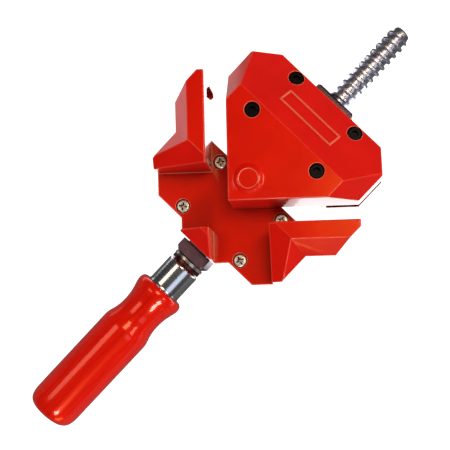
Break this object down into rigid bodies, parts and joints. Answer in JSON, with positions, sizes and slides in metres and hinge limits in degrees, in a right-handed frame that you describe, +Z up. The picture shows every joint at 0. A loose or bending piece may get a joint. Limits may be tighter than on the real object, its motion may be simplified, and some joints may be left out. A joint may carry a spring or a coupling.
{
  "type": "corner clamp",
  "caption": "Red 90-degree corner clamp with cast fixed arms, a swivelling triangular jaw, a wide-pitch zinc-plated spindle and a lacquered wooden handle.",
  "frame": {"origin": "On the bench, below the point where the planes of the two fixed clamping faces meet, at the centre of the corner.", "axes": "+X along the spindle from the handle to its free end, +Y towards the left arm seen from the handle, +Z up from the bench."},
  "size_m": [0.3736, 0.1538, 0.0624],
  "materials": {
    "red_cast": "gloss_powder_coat",
    "red_wood": "gloss_lacquered",
    "zinc_steel": "zinc_plated",
    "bright_steel": "turned",
    "dark_steel": "burnished_dark",
    "black_steel": "black_oxide",
    "nickel": "nickel_plated",
    "chrome_tube": "polished_plate"
  },
  "bodies": {
    "body": {"body_upper_casting": "red_cast", "body_lower_casting": "red_cast", "body_screws": "nickel"},
    "swivel": {"bearing_block": "dark_steel", "upper_swivel_pin": "bright_steel", "lower_swivel_pin": "bright_steel"},
    "screw": {"spindle": "zinc_steel", "rear_thrust_washer": "bright_steel", "front_thrust_washer": "bright_steel", "retaining_collar": "dark_steel", "collar_pin": "bright_steel", "ferrule": "chrome_tube", "handle": "red_wood", "handle_pin": "bright_steel"},
    "nut": {"spindle_nut": "dark_steel", "nut_plate": "dark_steel", "nut_plate_screws": "black_steel"},
    "jaw": {"jaw_upper_shell": "red_cast", "jaw_lower_shell": "red_cast", "jaw_screws": "black_steel"}
  },
  "joints": [
    {"name": "spindle_swivel", "type": "hinge", "parent": "body", "child": "swivel", "pos_m": [-0.01, 0, 0.02], "axis": [0, 0, 1], "range_deg": [-2.5, 2.5]},
    {"name": "spindle_turn", "type": "hinge", "parent": "swivel", "child": "screw", "pos_m": [-0.045, 0, 0.02], "axis": [1, 0, 0], "range_deg": [-3534, 951]},
    {"name": "jaw_travel", "type": "slide", "parent": "swivel", "child": "nut", "axis": [1, 0, 0], "range_m": [-0.01531, 0.05692]},
    {"name": "jaw_swivel", "type": "hinge", "parent": "nut", "child": "jaw", "pos_m": [0.10593, 0, 0.02], "axis": [0, 0, 1], "range_deg": [-2.5, 2.5]}
  ],
  "couplings": [
    {"joint": "spindle_turn", "follows": "jaw_travel", "rad_per_m": -1083.3},
    {"joint": "jaw_swivel", "follows": "spindle_swivel", "ratio": -1}
  ]
}
